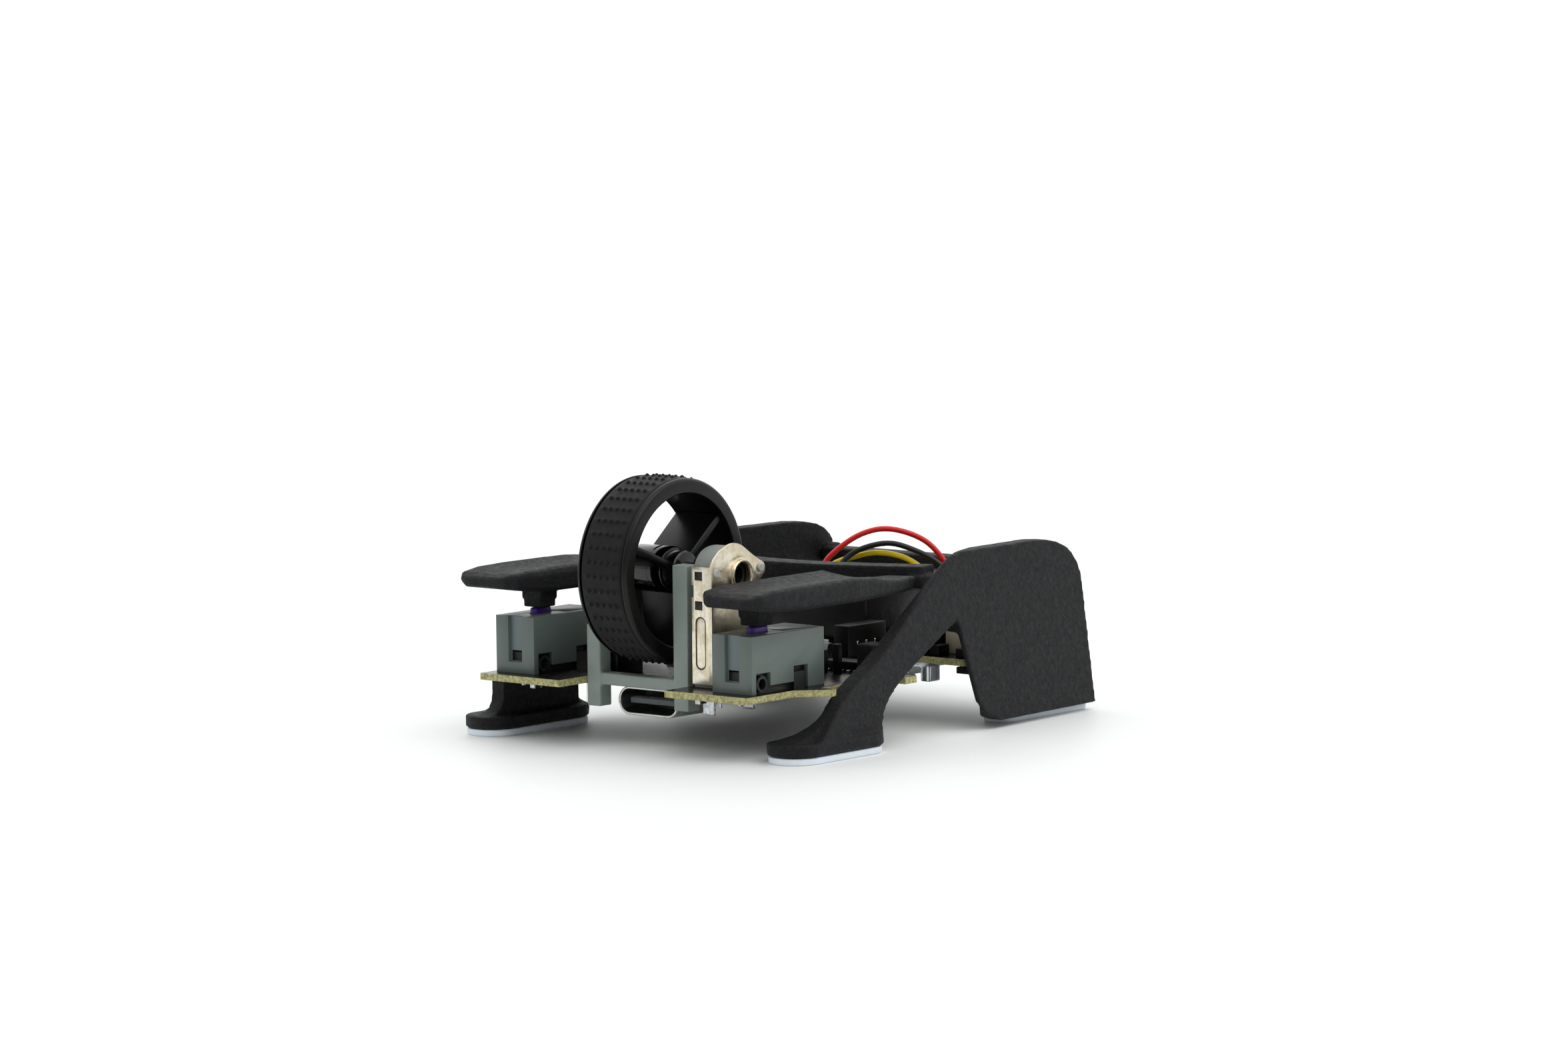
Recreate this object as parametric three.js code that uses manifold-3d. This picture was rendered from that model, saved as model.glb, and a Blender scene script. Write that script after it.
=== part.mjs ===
// Open-frame wireless mouse: a printed skeleton that carries a circuit board, two main
// switches, a scroll wheel with its encoder, a battery and an optical sensor.
//
// Units are millimetres. +Z is up, -Y is the front (cable socket side) and +X is the
// user's left, so the left button is on +X. Drawing coordinates put y = 0 on the front
// faces of the two main switches; the exported group moves the drawing back by FRAME_MID_Y,
// which puts the origin under the middle of the outline.

import * as THREE from "three";
import { mergeVertices } from "three/addons/utils/BufferGeometryUtils.js";
import Module from "manifold-3d";

const wasm = await Module();
wasm.setup();

// ---------- driving dimensions ----------

const GAP = 0.3;

// Outline of the whole object in drawing coordinates.
const FRONT_Y = -3.85;
const REAR_Y = 60.2;
const FRAME_MID_Y = (FRONT_Y + REAR_Y) / 2;

// The outer face of each side frame is the plane x = SIDE_X - SIDE_TOE * y - SIDE_LEAN * z.
const SIDE_X = 25.8;
const SIDE_TOE = 0.054;
const SIDE_LEAN = 0.17;
const SIDE_THICK = 2.2;

const SKATE_THICK = 0.8;
const FOOT_BOTTOM = 0.85;
const FRONT_FOOT = { x: 22.1, y0: 0.8, y1: 17.7, r: 3.3, top: 2.3 };
const REAR_FOOT = { x: 19.4, y0: 42.9, y1: REAR_Y, r: 2.2, top: 2.2 };
// The front foot on the user's right reaches this much further forward.
const RIGHT_TOE = 1.4;

const BOARD_TOP = 7.73;
const BOARD_THICK = 0.8;
const BOARD_BOTTOM = BOARD_TOP - BOARD_THICK;
const BOARD_REAR = { half: 18.6, y0: 39.0, y1: 56.0 };

const SWITCH = { x: 16.26, length: 12.8, width: 5.8, height: 6.6, baseHeight: 2.4 };
const PLUNGER = { y: 4.5, length: 3.0, width: 1.2, rise: 0.75 };

const BUTTON = { inner: 13.4, outer: 22.8, front: -3.2, bottom: 17.1, top: 19.8 };
const BUTTON_ROOT_Y = 28.2;

const AXLE = { y: 7.0, z: 20.2, r: 1.0 };
const WHEEL = { rimR: 10.55, innerR: 8.9, tyreR: 10.85, half: 3.7, tyreHalf: 3.0 };
const ENCODER = { x0: 8.9, x1: 11.86, y0: 1.85, y1: 11.3, shellThick: 0.3, shoulder: 20.6 };
const MIDDLE_SWITCH = { x: -7.4, size: 4.5, top: 17.9 };

const BATTERY = { x0: -15.0, x1: 5.6, y0: 37.2, y1: 56.2, z0: 8.9, z1: 15.8 };

const WIRE_R = 0.35;
const WIRE_SIDES = 8;
const WIRE_STEPS = 48;

// ---------- materials ----------

function material(color, roughness, metalness) {
  return new THREE.MeshStandardMaterial({ color, roughness, metalness });
}

const nylon = material(0x24242a, 0.9, 0.0);
const skateWhite = material(0xe6ebf0, 0.5, 0.0);
const boardMask = material(0x1a1a18, 0.5, 0.0);
const switchGrey = material(0x6b7678, 0.6, 0.0);
const darkPlastic = material(0x222326, 0.5, 0.0);
const violet = material(0x3b1a66, 0.4, 0.0);
const rubber = material(0x1b1b1c, 0.85, 0.0);
const glossBlack = material(0x0e0e0f, 0.2, 0.0);
const nickel = material(0xcfc8b6, 0.3, 1.0);
const steel = material(0xb9bcc0, 0.3, 1.0);
const greyPlastic = material(0x8a948f, 0.5, 0.0);
const wrap = material(0x17181a, 0.4, 0.0);
const clear = material(0x9aa0a4, 0.1, 0.0);
const beige = material(0xb5aa94, 0.6, 0.0);
const red = material(0xc4141a, 0.5, 0.0);
const black = material(0x101010, 0.5, 0.0);
const yellow = material(0xd9b400, 0.5, 0.0);

// ---------- geometry helpers ----------

function toSolid(geometry) {
  const bare = geometry.clone();
  bare.deleteAttribute("normal");
  bare.deleteAttribute("uv");
  const merged = mergeVertices(bare, 1e-5);
  return new wasm.Manifold(
    new wasm.Mesh({
      numProp: 3,
      vertProperties: new Float32Array(merged.attributes.position.array),
      triVerts: new Uint32Array(merged.index.array),
    }),
  );
}

function toGeometry(solid) {
  const mesh = solid.getMesh();
  const geometry = new THREE.BufferGeometry();
  geometry.setAttribute("position", new THREE.BufferAttribute(mesh.vertProperties, 3));
  geometry.setIndex(new THREE.BufferAttribute(mesh.triVerts, 1));
  geometry.computeVertexNormals();
  return geometry;
}

function join(...geometries) {
  return toGeometry(geometries.map(toSolid).reduce((all, next) => all.add(next)));
}

function cut(geometry, ...tools) {
  return toGeometry(tools.map(toSolid).reduce((all, next) => all.subtract(next), toSolid(geometry)));
}

// A box between two corners.
function block(x0, x1, y0, y1, z0, z1) {
  const geometry = new THREE.BoxGeometry(x1 - x0, y1 - y0, z1 - z0);
  return geometry.translate((x0 + x1) / 2, (y0 + y1) / 2, (z0 + z1) / 2);
}

function cylinderX(radius, x0, x1, y, z, segments = 32) {
  const geometry = new THREE.CylinderGeometry(radius, radius, x1 - x0, segments);
  return geometry.rotateZ(Math.PI / 2).translate((x0 + x1) / 2, y, z);
}

function cylinderZ(radius, z0, z1, x, y, segments = 24) {
  const geometry = new THREE.CylinderGeometry(radius, radius, z1 - z0, segments);
  return geometry.rotateX(Math.PI / 2).translate(x, y, (z0 + z1) / 2);
}

// A shape drawn in x and y, raised from z0 to z1.
function plate(shape, z0, z1, curveSegments = 8) {
  const geometry = new THREE.ExtrudeGeometry(shape, {
    depth: z1 - z0,
    bevelEnabled: false,
    curveSegments,
  });
  return geometry.translate(0, 0, z0);
}

// A shape drawn in y and z, spread from x0 to x1.
function profileX(shape, x0, x1, curveSegments = 8) {
  const geometry = new THREE.ExtrudeGeometry(shape, {
    depth: x1 - x0,
    bevelEnabled: false,
    curveSegments,
  });
  const turn = new THREE.Matrix4().makeBasis(
    new THREE.Vector3(0, 1, 0),
    new THREE.Vector3(0, 0, 1),
    new THREE.Vector3(1, 0, 0),
  );
  return geometry.applyMatrix4(turn).translate(x0, 0, 0);
}

// A slot outline along y with round ends.
function stadium(x, y0, y1, r) {
  const shape = new THREE.Shape();
  shape.moveTo(x - r, y0 + r);
  shape.absarc(x, y0 + r, r, Math.PI, 2 * Math.PI, false);
  shape.absarc(x, y1 - r, r, 0, Math.PI, false);
  shape.closePath();
  return shape;
}

function polygon(points) {
  return new THREE.Shape(points.map(([a, b]) => new THREE.Vector2(a, b)));
}

// The mirror image across x = 0, with its faces turned the right way out again.
function mirrored(geometry) {
  const image = toGeometry(toSolid(geometry)).scale(-1, 1, 1);
  const corners = image.index.array;
  for (let i = 0; i < corners.length; i += 3) {
    [corners[i + 1], corners[i + 2]] = [corners[i + 2], corners[i + 1]];
  }
  return image;
}

function sideGeometry(geometry, side) {
  return side > 0 ? geometry : mirrored(geometry);
}

const group = new THREE.Group();

function add(name, geometry, look) {
  const mesh = new THREE.Mesh(geometry, look);
  mesh.name = name;
  group.add(mesh);
}

// ---------- printed frame ----------

// Side view of a side frame: front leg, open gap, and the grip plate behind it.
function sideOutline() {
  const shape = new THREE.Shape();
  shape.moveTo(3.6, FOOT_BOTTOM);
  shape.lineTo(3.6, 2.1);
  shape.bezierCurveTo(5.4, 2.3, 6.2, 3.3, 8.4, 5.25);
  shape.bezierCurveTo(10.4, 6.9, 13.2, 8.4, 16.5, 9.65);
  shape.bezierCurveTo(19.5, 11.0, 22.6, 13.1, 27.5, 16.3);
  shape.lineTo(31.4, 18.75);
  shape.bezierCurveTo(32.8, 19.6, 34.2, 20.6, 37.0, 20.7);
  shape.lineTo(52.0, 20.6);
  shape.bezierCurveTo(57.0, 20.4, 59.6, 19.2, REAR_Y, 15.8);
  shape.lineTo(59.4, FOOT_BOTTOM);
  shape.lineTo(40.2, FOOT_BOTTOM);
  shape.bezierCurveTo(38.0, 1.4, 36.3, 2.2, 35.9, 3.6);
  shape.lineTo(34.6, 10.0);
  shape.bezierCurveTo(34.4, 11.4, 34.4, 12.6, 33.9, 12.95);
  shape.lineTo(31.2, 11.8);
  shape.lineTo(24.4, 8.8);
  shape.bezierCurveTo(20.6, 7.1, 17.6, 5.4, 16.9, 3.2);
  shape.lineTo(16.6, FOOT_BOTTOM);
  shape.closePath();
  return shape;
}

// Thins the grip plate's front edge from the inside, along the slope of that edge.
function gripChamfer() {
  const rake = 0.2;
  const wedge = plate(polygon([[-2.5, -0.8], [-0.5, -0.8], [-0.5, 0], [-2.5, 2.7]]), 3.0, 11.5);
  const slope = new THREE.Matrix4().set(
    1, 0, 0, 0,
    0, 1, -rake, 36.6,
    0, 0, 1, 0,
    0, 0, 0, 1,
  );
  return wedge.applyMatrix4(slope);
}

// Thins the leg's front edge from the inside: full thickness low down, a thin lip at the top.
function legChamfer() {
  const rise = 0.455;
  const bevel = 1.54;
  const slope = new THREE.Matrix4().set(
    1, 0, 0, 0,
    0, 1, 0, 0,
    bevel, rise, 1, 5.38,
    0, 0, 0, 1,
  );
  return block(-3.0, 0.2, 6.0, 45.0, 0, 8).applyMatrix4(slope);
}

function sidePlate() {
  const lean = new THREE.Matrix4().set(
    1, -SIDE_TOE, -SIDE_LEAN, SIDE_X,
    0, 1, 0, 0,
    0, 0, 1, 0,
    0, 0, 0, 1,
  );
  const upright = cut(profileX(sideOutline(), -SIDE_THICK, 0, 6), gripChamfer(), legChamfer());
  return upright.applyMatrix4(lean);
}

function frontFoot(side) {
  return side > 0 ? FRONT_FOOT : { ...FRONT_FOOT, y0: FRONT_FOOT.y0 - RIGHT_TOE };
}

function footPad({ x, y0, y1, r, top }) {
  return plate(stadium(x, y0, y1, r), FOOT_BOTTOM, top, 10);
}

// A ledge on the inner face of the grip plate, which carries the rear of the board.
function boardLedge() {
  return block(16.4, 21.0, 40.4, 57.0, 5.8, BOARD_BOTTOM - GAP);
}

// A post on the inner face of the front leg, which the board is screwed up against.
function boardPost() {
  return block(18.3, 21.4, 19.6, 22.6, BOARD_TOP + GAP, 11.6);
}

// Only the user's right frame has this wall between the foot and the board.
function footWall() {
  return block(-22.2, -20.2, 2.4, 15.6, 1.6, BOARD_BOTTOM - GAP);
}

function sideFrame(side) {
  const pads = [footPad(frontFoot(side)), footPad(REAR_FOOT)];
  const half = join(sidePlate(), ...pads, boardLedge(), boardPost());
  return side > 0 ? half : join(mirrored(half), footWall());
}

// A curved bar between the side frames, its middle further forward than its ends.
function frontBridge() {
  const shape = new THREE.Shape();
  shape.moveTo(19.2, 30.8);
  shape.quadraticCurveTo(9.0, 25.6, 0, 25.4);
  shape.quadraticCurveTo(-9.0, 25.6, -19.2, 30.8);
  shape.lineTo(-18.4, 34.0);
  shape.quadraticCurveTo(-9.0, 28.8, 0, 28.6);
  shape.quadraticCurveTo(9.0, 28.8, 18.4, 34.0);
  shape.closePath();
  return plate(shape, 16.9, 19.4, 8);
}

function rearBridge() {
  return block(-16.9, 16.9, 56.6, 59.4, 14.6, 17.2);
}

function skate({ x, y0, y1, r }, side) {
  const inset = 0.15;
  const outline = stadium(side * x, y0 + inset, y1 - inset, r - inset);
  return plate(outline, 0, SKATE_THICK, 10);
}

// ---------- buttons ----------

// A finger plate with round front corners that narrows into an arm at the frame.
function buttonPlate() {
  const { inner, outer, front, bottom, top } = BUTTON;
  const shape = new THREE.Shape();
  shape.moveTo(inner, front + 2.4);
  shape.quadraticCurveTo(inner, front, inner + 2.6, front);
  shape.lineTo(outer - 3.2, front);
  shape.quadraticCurveTo(outer, front, outer, front + 3.4);
  shape.lineTo(outer, 14.0);
  shape.quadraticCurveTo(21.8, 22.0, 19.3, BUTTON_ROOT_Y + 1.4);
  shape.lineTo(15.8, BUTTON_ROOT_Y);
  shape.quadraticCurveTo(16.4, 23.0, inner, 18.9);
  shape.closePath();
  return plate(shape, bottom, top, 8);
}

// The post reaches down from the finger plate to the switch plunger.
function buttonPost() {
  const top = BUTTON.bottom + 0.4;
  const foot = BOARD_TOP + SWITCH.height + PLUNGER.rise;
  return block(14.9, 17.6, 3.1, 5.7, foot, top);
}

function button() {
  return join(buttonPlate(), buttonPost());
}

// ---------- main switches ----------

function switchBase() {
  const { x, length, width, baseHeight } = SWITCH;
  const z0 = BOARD_TOP;
  const wall = 0.7;
  return block(x - width / 2 + wall, x + width / 2 - wall, wall, length - wall, z0, z0 + baseHeight);
}

function switchCover() {
  const { x, length, width, height, baseHeight } = SWITCH;
  const z0 = BOARD_TOP;
  const outer = block(x - width / 2, x + width / 2, 0, length, z0, z0 + height);
  const play = 0.05;
  const inside = 0.7 - play;
  const hollow = block(
    x - width / 2 + inside,
    x + width / 2 - inside,
    inside,
    length - inside,
    z0 - 1,
    z0 + height - 0.8,
  );
  const frontSlot = block(x - 1.03, x + 1.03, -1, 0.45, z0 + 1.5, z0 + height + 1);
  const window1 = block(x + width / 2 - 1.5, x + width, 0.8, 3.3, z0 - 1, z0 + baseHeight);
  const window2 = block(x + width / 2 - 1.5, x + width, 7.4, 9.9, z0 - 1, z0 + 2.6);
  const well = plungerGeometry(0.15, z0 + height - 2, z0 + height + 1);
  return cut(outer, hollow, frontSlot, window1, window2, well);
}

function plungerGeometry(grow, z0, z1) {
  const { y, length, width } = PLUNGER;
  const r = width / 2 + grow;
  const outline = stadium(SWITCH.x, y - length / 2 - grow, y + length / 2 + grow, r);
  return plate(outline, z0, z1, 6);
}

function switchPlunger() {
  const roof = BOARD_TOP + SWITCH.height;
  return plungerGeometry(0, roof - 1.6, roof + PLUNGER.rise - 0.05);
}

// ---------- circuit board ----------

// Half of the board's outline, front to rear: a notch for the wheel bracket, an ear that
// grips the front leg, a waist, and the wide field between the grip plates.
function boardOutline() {
  const { half, y0, y1 } = BOARD_REAR;
  return [
    [7.88, 5.0],
    [7.88, -1.95],
    [19.98, -1.95],
    [19.98, 6.3],
    [23.1, 9.3],
    [23.1, 10.1],
    [21.1, 10.1],
    [21.1, 22.5],
    [23.1, 22.5],
    [23.1, 24.6],
    [22.0, 25.7],
    [9.5, 25.7],
    [9.5, y0],
    [half, y0],
    [half, y1],
  ];
}

function mainBoard() {
  const right = boardOutline();
  const left = right.map(([x, y]) => [-x, y]).reverse();
  const board = plate(polygon([...right, ...left]), BOARD_BOTTOM, BOARD_TOP);
  const sensorHole = block(-3.5, 3.5, 43.5, 50.5, BOARD_BOTTOM - 1, BOARD_TOP + 1);
  return cut(board, sensorHole);
}

// ---------- wheel ----------

function onAxle(profile, segments) {
  const points = profile.map(([r, x]) => new THREE.Vector2(r, x));
  const geometry = new THREE.LatheGeometry(points, segments);
  return geometry.rotateZ(-Math.PI / 2).translate(0, AXLE.y, AXLE.z);
}

// Tyre ring, seated in the rim's shallow groove.
function tyre() {
  const { tyreR, tyreHalf } = WHEEL;
  const seat = 10.05;
  const profile = [
    [seat, -tyreHalf],
    [tyreR, -tyreHalf],
    [tyreR, tyreHalf],
    [seat, tyreHalf],
    [seat, -tyreHalf],
  ];
  return onAxle(profile, 72);
}

function rim() {
  const { rimR, innerR, half, tyreHalf } = WHEEL;
  const lip = tyreHalf + 0.05;
  const floor = 10.0;
  const profile = [
    [innerR, -half],
    [rimR - 0.4, -half],
    [rimR, -half + 0.3],
    [rimR, -lip],
    [floor, -lip],
    [floor, lip],
    [rimR, lip],
    [rimR, half - 0.3],
    [rimR - 0.4, half],
    [innerR, half],
    [innerR, -half],
  ];
  return onAxle(profile, 72);
}

function spoke(angle) {
  const blade = block(-3.2, 3.2, 2.2, WHEEL.innerR + 0.4, -0.5, 0.5);
  return blade.rotateX(angle).translate(0, AXLE.y, AXLE.z);
}

// Rim, three broad spokes, hub drum and axle are one moulding.
function wheelHub() {
  const { y, z, r } = AXLE;
  const angles = [39, 159, 279].map((a) => (a * Math.PI) / 180);
  return join(
    rim(),
    ...angles.map(spoke),
    cylinderX(2.7, -WHEEL.half, 2.0, y, z, 36),
    cylinderX(2.3, 1.9, 4.6, y, z, 36),
    cylinderX(r, -8.6, 4.0, y, z, 24),
    cylinderX(0.9, 4.5, 10.4, y, z, 6),
  );
}

// ---------- encoder, bracket and middle switch ----------

function encoderOutline(inset) {
  const { y0, y1, shoulder } = ENCODER;
  const top = 23.95 - inset;
  const low = BOARD_TOP;
  const shape = new THREE.Shape();
  shape.moveTo(y0 + inset, low);
  shape.lineTo(y0 + inset, shoulder + 0.9 - inset);
  shape.quadraticCurveTo(y0 + 1.0, top, AXLE.y - 1.3, top);
  shape.quadraticCurveTo(AXLE.y + 1.0, top, AXLE.y + 2.2, shoulder + 1.8 - inset);
  shape.lineTo(y1 - inset, shoulder + 0.8 - inset);
  shape.lineTo(y1 - inset, low);
  shape.closePath();
  return shape;
}

// Plastic body with the pocket that the rotor turns in.
function encoderBody() {
  const { x0, x1, shellThick } = ENCODER;
  const x2 = x1 - shellThick - 0.05;
  const body = profileX(encoderOutline(shellThick + 0.05), x0, x2, 8);
  const pocket = cylinderX(2.7, x0 + 0.6, x2 + 1, AXLE.y, AXLE.z);
  const throat = cylinderX(1.7, x0 - 1, x0 + 1, AXLE.y, AXLE.z);
  return cut(body, pocket, throat);
}

// Pressed steel cover: the outer plate with its collar, and the flange across the front.
function encoderCover() {
  const { x0, x1, y0, shellThick, shoulder } = ENCODER;
  const outer = profileX(encoderOutline(0), x1 - shellThick, x1, 8);
  const flange = block(x0, x1, y0, y0 + shellThick, BOARD_TOP, shoulder + 0.6);
  const collar = cylinderX(1.8, x1 - shellThick, x1 + 0.45, AXLE.y, AXLE.z);
  const hole = cylinderX(1.5, x1 - 1, x1 + 1, AXLE.y, AXLE.z);
  return cut(join(outer, flange, collar), hole);
}

// The rotor is a slotted disc with a hexagonal socket for the wheel's axle.
function encoderRotor() {
  const { x0, x1, shellThick } = ENCODER;
  const disc = cylinderX(2.5, x0 + 0.8, x1 - shellThick - 0.25, AXLE.y, AXLE.z);
  const socket = cylinderX(1.0, x0 - 1, x1 + 1, AXLE.y, AXLE.z, 6);
  return cut(disc, socket);
}

// Two solder legs under the encoder.
function encoderTerminal(y) {
  return block(10.2, 11.2, y - 0.3, y + 0.3, 4.6, BOARD_BOTTOM - GAP);
}

// U bracket in front of the wheel: a tall post beside the encoder, a short post and a sill.
function wheelBracket() {
  const front = 2.6;
  const back = 4.6;
  return join(
    block(5.4, 7.58, front, back, 4.7, 21.4),
    block(-7.58, -5.6, front, back, 4.4, 13.8),
    block(-5.8, 5.6, front, back, 6.9, 8.3),
  );
}

function middleSwitchBody() {
  const { x, size, top } = MIDDLE_SWITCH;
  const body = block(x - size / 2, x + size / 2, 5.1, 5.1 + size, BOARD_TOP, top);
  return cut(body, cylinderZ(1.25, top - 1.2, top + 1, x, AXLE.y));
}

function middleSwitchPlunger() {
  const { x, top } = MIDDLE_SWITCH;
  return cylinderZ(1.1, top - 0.8, AXLE.z - AXLE.r - 0.05, x, AXLE.y);
}

// ---------- cable socket ----------

function roundSocket(width, height, y0, y1, z) {
  const r = height / 2;
  const shape = new THREE.Shape();
  shape.moveTo(-width / 2 + r, -r);
  shape.absarc(width / 2 - r, 0, r, -Math.PI / 2, Math.PI / 2, false);
  shape.absarc(-width / 2 + r, 0, r, Math.PI / 2, (3 * Math.PI) / 2, false);
  shape.closePath();
  return plate(shape, 0, y1 - y0, 8).rotateX(Math.PI / 2).translate(0, y1, z);
}

function socketShell() {
  const z = 5.11;
  const shell = roundSocket(8.94, 3.3, 4.9, 11.4, z);
  return cut(shell, roundSocket(8.34, 2.7, 3.0, 10.9, z));
}

function socketTongue() {
  return block(-3.3, 3.3, 5.5, 10.6, 4.76, 5.46);
}

// ---------- power and sensing ----------

function battery() {
  const { x0, x1, y0, y1, z0, z1 } = BATTERY;
  const r = 1.6;
  const shape = new THREE.Shape();
  shape.moveTo(x0 + r, z0);
  shape.lineTo(x1 - r, z0);
  shape.quadraticCurveTo(x1, z0, x1, z0 + r);
  shape.lineTo(x1, z1 - r);
  shape.quadraticCurveTo(x1, z1, x1 - r, z1);
  shape.lineTo(x0 + r, z1);
  shape.quadraticCurveTo(x0, z1, x0, z1 - r);
  shape.lineTo(x0, z0 + r);
  shape.quadraticCurveTo(x0, z0, x0 + r, z0);
  return plate(shape, 0, y1 - y0, 4).rotateX(Math.PI / 2).translate(0, y1, 0);
}

function wire(points) {
  const path = new THREE.CatmullRomCurve3(points.map((p) => new THREE.Vector3(...p)));
  const section = new THREE.Shape();
  for (let i = 0; i < WIRE_SIDES; i++) {
    const a = (2 * Math.PI * i) / WIRE_SIDES;
    const move = i ? "lineTo" : "moveTo";
    section[move](WIRE_R * Math.cos(a), WIRE_R * Math.sin(a));
  }
  section.closePath();
  return new THREE.ExtrudeGeometry(section, {
    steps: WIRE_STEPS,
    extrudePath: path,
    bevelEnabled: false,
  });
}

// Each wire leaves the front end of the battery, arches over it and drops to the plug.
const WIRE_ROUTES = {
  red: [
    [1.0, 37.0, 14.4],
    [0.5, 35.9, 15.4],
    [0.4, 35.9, 18.0],
    [1.9, 37.0, 20.0],
    [4.2, 38.6, 21.7],
    [6.6, 40.3, 22.2],
    [10.1, 42.7, 20.8],
    [12.4, 44.1, 17.8],
    [14.0, 45.0, 14.4],
    [14.5, 45.1, 11.6],
  ],
  black: [
    [3.2, 37.0, 14.2],
    [2.7, 35.9, 15.2],
    [2.2, 36.4, 17.6],
    [3.4, 37.6, 19.4],
    [6.9, 39.4, 20.6],
    [9.3, 40.6, 20.1],
    [12.6, 42.6, 18.0],
    [14.2, 43.7, 14.6],
    [14.5, 44.2, 11.6],
  ],
  yellow: [
    [-1.4, 37.0, 14.2],
    [-1.2, 35.9, 15.2],
    [0.6, 36.9, 17.8],
    [3.4, 38.6, 19.0],
    [5.8, 39.6, 19.4],
    [9.0, 40.9, 18.7],
    [12.2, 42.0, 16.2],
    [14.0, 42.9, 13.6],
    [14.5, 43.2, 11.6],
  ],
};

const PLUG = { x0: 13.2, x1: 15.9, y0: 42.5, y1: 45.9 };

function connector() {
  const { x0, x1, y0, y1 } = PLUG;
  return block(x0, x1, y0, y1, BOARD_TOP, 10.35);
}

function plug() {
  const { x0, x1, y0, y1 } = PLUG;
  const side = 0.1;
  return block(x0 + side, x1 - side, y0 + side, y1 - side, 10.4, 11.2);
}

function sensorChip() {
  return block(-4.6, 4.6, 42.6, 51.4, BOARD_TOP + 0.02, 8.7);
}

// Clear lens block under the board: a flange, two clip legs and the foot around the light path.
function sensorLens() {
  const top = BOARD_BOTTOM - 0.05;
  const flange = block(-11.0, 11.0, 42.2, 52.0, 5.9, top);
  const legs = [block(9.6, 11.0, 42.2, 44.3, 4.2, 6.0), block(-11.0, -9.6, 42.2, 44.3, 4.2, 6.0)];
  const foot = block(-5.0, 5.0, 42.6, 51.4, 4.2, 6.0);
  const light = cylinderZ(1.6, 3.0, 5.2, 0, 47.0);
  return cut(join(flange, ...legs, foot), light);
}

function ribbonSocket() {
  return block(10.8, 19.0, 22.9, 25.3, BOARD_TOP, 8.9);
}

function pinHeader() {
  return block(6.2, 8.4, 30.4, 37.4, BOARD_TOP, 11.8);
}

function radioShield() {
  return block(-8.4, 0.4, 27.4, 34.4, BOARD_TOP, 8.7);
}

// A round-head screw on a face of the board, its head above or below that face.
function screw(x, y, face, direction) {
  const near = face + direction * 0.04;
  const far = near + direction * 0.6;
  return cylinderZ(0.95, Math.min(near, far), Math.max(near, far), x, y, 20);
}

// ---------- assembly ----------

for (const [label, side] of [["left", 1], ["right", -1]]) {
  add(`frame_${label}_side`, sideFrame(side), nylon);
  add(`front_${label}_skate`, skate(frontFoot(side), side), skateWhite);
  add(`rear_${label}_skate`, skate(REAR_FOOT, side), skateWhite);
  add(`${label}_button`, sideGeometry(button(), side), nylon);
  add(`${label}_switch_cover`, sideGeometry(switchCover(), side), switchGrey);
  add(`${label}_switch_base`, sideGeometry(switchBase(), side), darkPlastic);
  add(`${label}_switch_plunger`, sideGeometry(switchPlunger(), side), violet);
}

add("frame_front_bridge", frontBridge(), nylon);
add("frame_rear_bridge", rearBridge(), nylon);
add("main_board", mainBoard(), boardMask);
add("wheel_tyre", tyre(), rubber);
add("wheel_hub", wheelHub(), glossBlack);
add("encoder_body", encoderBody(), greyPlastic);
add("encoder_cover", encoderCover(), nickel);
add("encoder_rotor", encoderRotor(), darkPlastic);
add("encoder_terminal_front", encoderTerminal(2.6), steel);
add("encoder_terminal_rear", encoderTerminal(9.6), steel);
add("wheel_bracket", wheelBracket(), greyPlastic);
add("middle_switch_body", middleSwitchBody(), darkPlastic);
add("middle_switch_plunger", middleSwitchPlunger(), greyPlastic);
add("cable_socket_shell", socketShell(), steel);
add("cable_socket_tongue", socketTongue(), darkPlastic);
add("battery", battery(), wrap);
add("battery_wire_red", wire(WIRE_ROUTES.red), red);
add("battery_wire_black", wire(WIRE_ROUTES.black), black);
add("battery_wire_yellow", wire(WIRE_ROUTES.yellow), yellow);
add("battery_connector", connector(), beige);
add("battery_plug", plug(), black);
add("sensor_chip", sensorChip(), darkPlastic);
add("sensor_lens", sensorLens(), clear);
add("ribbon_socket", ribbonSocket(), darkPlastic);
add("pin_header", pinHeader(), darkPlastic);
add("radio_shield", radioShield(), steel);
for (const [label, side] of [["left", 1], ["right", -1]]) {
  add(`front_${label}_screw`, screw(side * 19.7, 21.1, BOARD_BOTTOM, -1), steel);
  add(`rear_${label}_screw`, screw(side * 17.5, 52.6, BOARD_TOP, 1), steel);
}

group.position.set(0, -FRAME_MID_Y, 0);

export default group;
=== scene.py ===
"""Looks for an open-frame computer mouse: a printed nylon skeleton on white skates that
carries a circuit board, two switches, a scroll wheel with its encoder, and a battery.

Pieces are drawn in millimetres, with y = 0 on the front faces of the two main switches,
and place() moves each one into the row frame.
"""

import math
import random

import bmesh
import bpy
from mathutils import Matrix, Vector


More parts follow.
